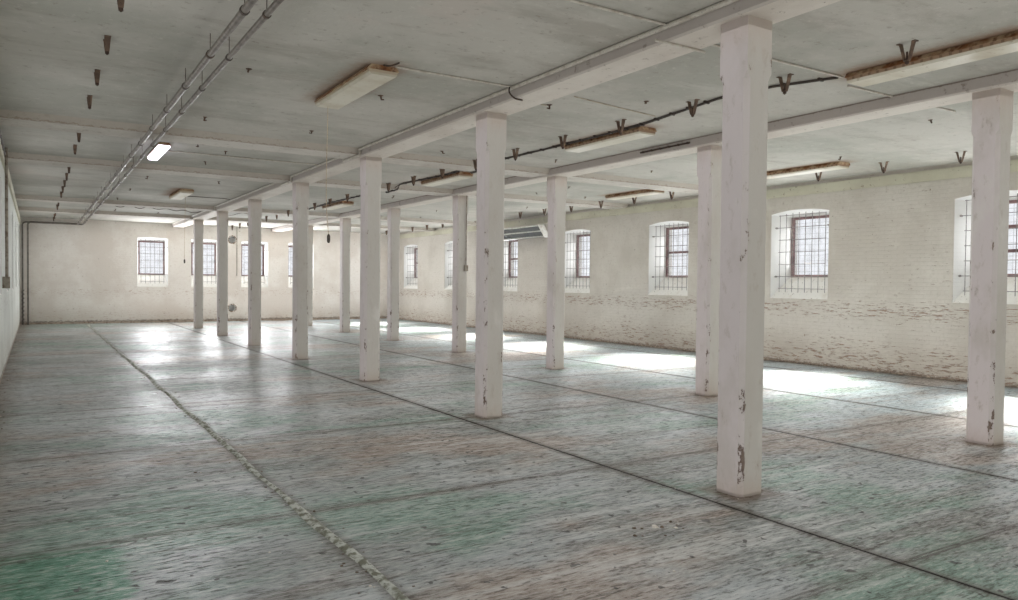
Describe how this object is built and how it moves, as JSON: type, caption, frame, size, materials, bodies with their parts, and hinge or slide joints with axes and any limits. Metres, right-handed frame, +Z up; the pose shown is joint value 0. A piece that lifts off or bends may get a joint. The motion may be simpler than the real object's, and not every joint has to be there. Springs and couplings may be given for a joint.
{
  "type": "factory hall",
  "caption": "Single-storey three-aisled factory hall with brick walls, deep splayed windows, concrete columns and a flat concrete ceiling.",
  "frame": {"origin": "centre of the plan at ground level, under the floor slab", "axes": "+Y along the hall to the far wall, +X to the right wall with the heater, +Z up"},
  "size_m": [15.78, 34.28, 4.48],
  "materials": {
    "concrete": "bare grey concrete, dusty",
    "floor_top": "worn concrete with remains of green floor paint, wet in places",
    "right_wall_paint": "brick, painted greyish yellow, chipped",
    "left_wall_paint": "brick, painted pale greenish white, dirty",
    "far_wall_paint": "brick, painted warm cream, dirty near the floor",
    "near_wall_paint": "brick, painted warm cream",
    "sill_plaster": "smooth painted plaster",
    "frame_paint": "dark paint, rusty",
    "window_glass": "dusty glass",
    "column_paint": "painted concrete, chipped, dark stains at the base",
    "beam_paint": "painted concrete with damp stains",
    "band_paint": "painted concrete",
    "ceiling_paint": "old white paint on concrete, grey green with damp",
    "roof_felt": "mineral roofing felt",
    "edge_brick": "painted brick, weathered",
    "light_tray": "once white enamel, brown with rust",
    "light_cover": "yellowed opal plastic",
    "pipe_paint": "old grey paint, rusty",
    "hanger_steel": "rusty strap steel",
    "hook_steel": "rusty strap steel",
    "conduit_paint": "off-white paint",
    "cable_sheath": "old black sheath",
    "heater_dark": "dark heat-stained sheet",
    "heater_trim": "off-white sheet",
    "switch_paint": "grey enamel, worn",
    "cord_sheath": "thin dusty cord",
    "pendant_body": "black"
  },
  "bodies": {
    "root": {"floor_slab": "concrete", "floor_strips": "floor_top", "door_threshold": "concrete", "right_wall_base": "right_wall_paint", "right_wall_piers": "right_wall_paint", "right_wall_head": "right_wall_paint", "left_wall_base": "left_wall_paint", "left_wall_piers": "left_wall_paint", "left_wall_head": "left_wall_paint", "far_wall_base": "far_wall_paint", "far_wall_piers": "far_wall_paint", "far_wall_head": "far_wall_paint", "near_wall_base": "near_wall_paint", "near_wall_piers": "near_wall_paint", "near_wall_head": "near_wall_paint", "side_window_sills": "sill_plaster", "end_window_sills": "sill_plaster", "right_window_frames": "frame_paint", "left_window_frames": "frame_paint", "end_window_frames": "frame_paint", "side_window_glass": "window_glass", "end_window_glass": "window_glass", "left_columns": "column_paint", "right_columns": "column_paint", "left_beam": "beam_paint", "right_beam": "beam_paint", "aisle_ribs": "beam_paint", "wall_bands": "band_paint", "ceiling_slab": "ceiling_paint", "roof_covering": "roof_felt", "roof_edge": "edge_brick", "light_housings": "light_tray", "light_diffusers": "light_cover", "heating_pipes": "pipe_paint", "pipe_elbows": "pipe_paint", "pipe_hangers": "hanger_steel", "ceiling_hooks": "hook_steel", "beam_conduit": "conduit_paint", "cross_conduits": "conduit_paint", "aisle_cable": "cable_sheath", "heater_casing": "heater_dark", "heater_rails": "heater_trim", "heater_brackets": "heater_trim", "wall_riser": "switch_paint", "column_switch": "switch_paint", "far_wall_conduit": "switch_paint", "cord_front": "cord_sheath", "cord_back": "cord_sheath", "cord_pendants": "pendant_body"}
  },
  "joints": []
}
